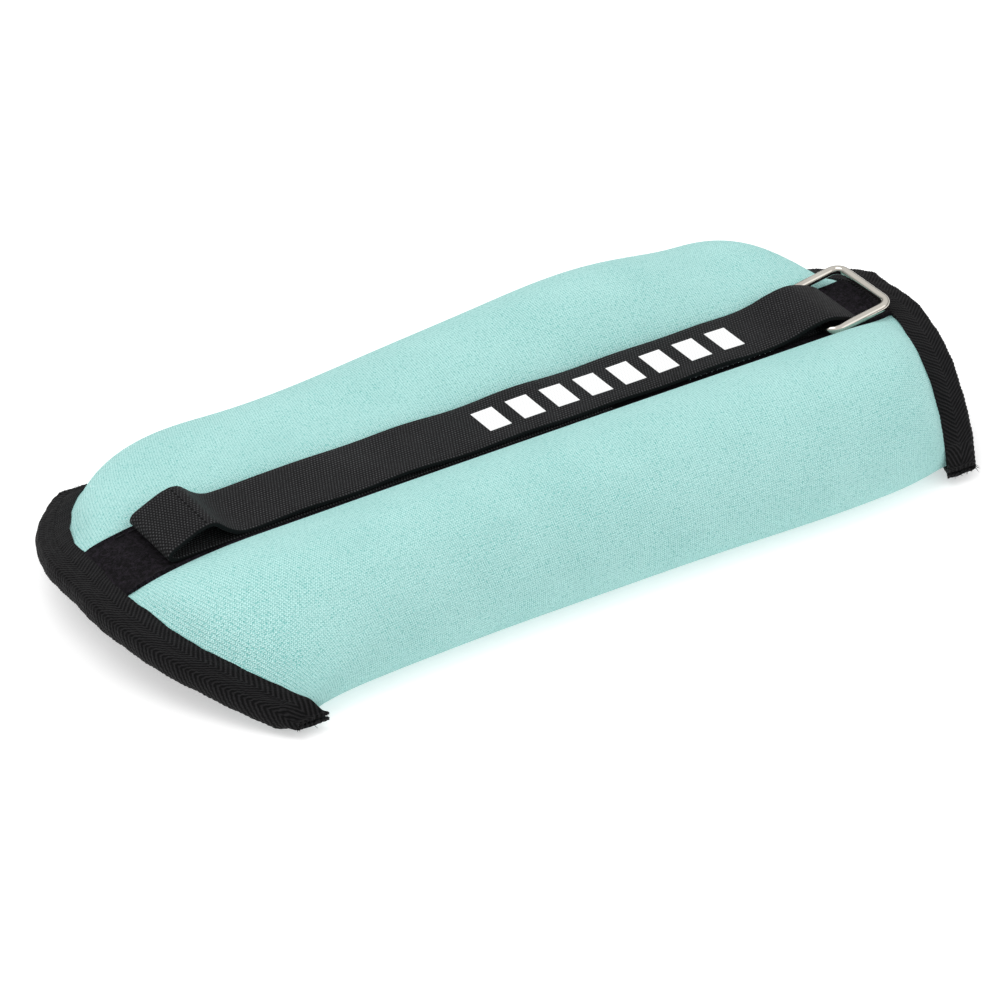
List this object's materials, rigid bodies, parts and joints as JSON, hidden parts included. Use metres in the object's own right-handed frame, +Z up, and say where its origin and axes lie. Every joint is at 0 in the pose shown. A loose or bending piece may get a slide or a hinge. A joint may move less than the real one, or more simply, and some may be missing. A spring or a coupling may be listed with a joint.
{
  "type": "ankle cuff weight",
  "caption": "Padded cuff weight of two sand-filled neoprene lobes with a webbing strap lying in the channel between them, folded back and tucked through a wire ring.",
  "frame": {"origin": "on the surface that the cuff lies on, under the middle of its bounding box", "axes": "+X along the cuff from the strap's fold towards the ring, +Y across it, +Z up"},
  "size_m": [0.3126, 0.152, 0.042],
  "materials": {
    "neoprene": "matte jersey face",
    "lining": "matte knit",
    "loop_tape": "fuzzy loop pile",
    "thread": "matte",
    "bag_film": "satin",
    "iron_sand": "granular",
    "binding": "matte twill",
    "print": "matte",
    "webbing": "matte ribbed weave",
    "hook": "matte",
    "ring_wire": "polished nickel"
  },
  "bodies": {
    "pad_middle": {"neoprene_cover_middle": "neoprene", "lining_middle": "lining", "channel_tape_middle": "loop_tape", "channel_stitching_middle": "thread", "sand_bag_middle_far": "bag_film", "sand_bag_middle_near": "bag_film", "iron_sand_middle_far": "iron_sand", "iron_sand_middle_near": "iron_sand", "strap_under_middle": "webbing", "anchor_stitching": "thread"},
    "pad_left": {"neoprene_cover_left": "neoprene", "lining_left": "lining", "channel_tape_left": "loop_tape", "channel_stitching_left": "thread", "sand_bag_left_far": "bag_film", "sand_bag_left_near": "bag_film", "iron_sand_left_far": "iron_sand", "iron_sand_left_near": "iron_sand", "left_binding": "binding", "strap_under_left": "webbing"},
    "pad_right": {"neoprene_cover_right": "neoprene", "lining_right": "lining", "channel_tape_right": "loop_tape", "channel_stitching_right": "thread", "sand_bag_right_far": "bag_film", "sand_bag_right_near": "bag_film", "iron_sand_right_far": "iron_sand", "iron_sand_right_near": "iron_sand", "right_binding": "binding", "ring_holder": "webbing", "holder_stitching": "thread"},
    "strap_left": {"strap_top_left": "webbing"},
    "strap_mid": {"strap_top_middle": "webbing", "strap_print_middle": "print"},
    "strap_right": {"strap_top_right": "webbing", "strap_print_right": "print", "hook_patch": "hook"},
    "ring": {"ring": "ring_wire"}
  },
  "joints": [
    {"name": "left_wrap", "type": "hinge", "parent": "pad_middle", "child": "pad_left", "pos_m": [-0.052, 0, 0], "axis": [0, -1, 0], "range_deg": [0, 100]},
    {"name": "right_wrap", "type": "hinge", "parent": "pad_middle", "child": "pad_right", "pos_m": [0.052, 0, 0], "axis": [0, 1, 0], "range_deg": [0, 100]},
    {"name": "strap_peel", "type": "hinge", "parent": "pad_left", "child": "strap_left", "pos_m": [-0.127, 0, 0.03275], "axis": [0, -1, 0], "range_deg": [0, 165]},
    {"name": "strap_bend_left", "type": "hinge", "parent": "strap_left", "child": "strap_mid", "pos_m": [-0.052, 0, 0], "axis": [0, -1, 0], "range_deg": [-100, 0]},
    {"name": "strap_bend_right", "type": "hinge", "parent": "strap_mid", "child": "strap_right", "pos_m": [0.052, 0, 0], "axis": [0, 1, 0], "range_deg": [0, 100]},
    {"name": "ring_swing", "type": "hinge", "parent": "pad_right", "child": "ring", "pos_m": [0.12, 0, 0.03013], "axis": [0, -1, 0], "range_deg": [0, 140]}
  ],
  "couplings": [
    {"joint": "strap_bend_left", "follows": "left_wrap", "ratio": -1},
    {"joint": "strap_bend_right", "follows": "right_wrap", "ratio": 1}
  ]
}
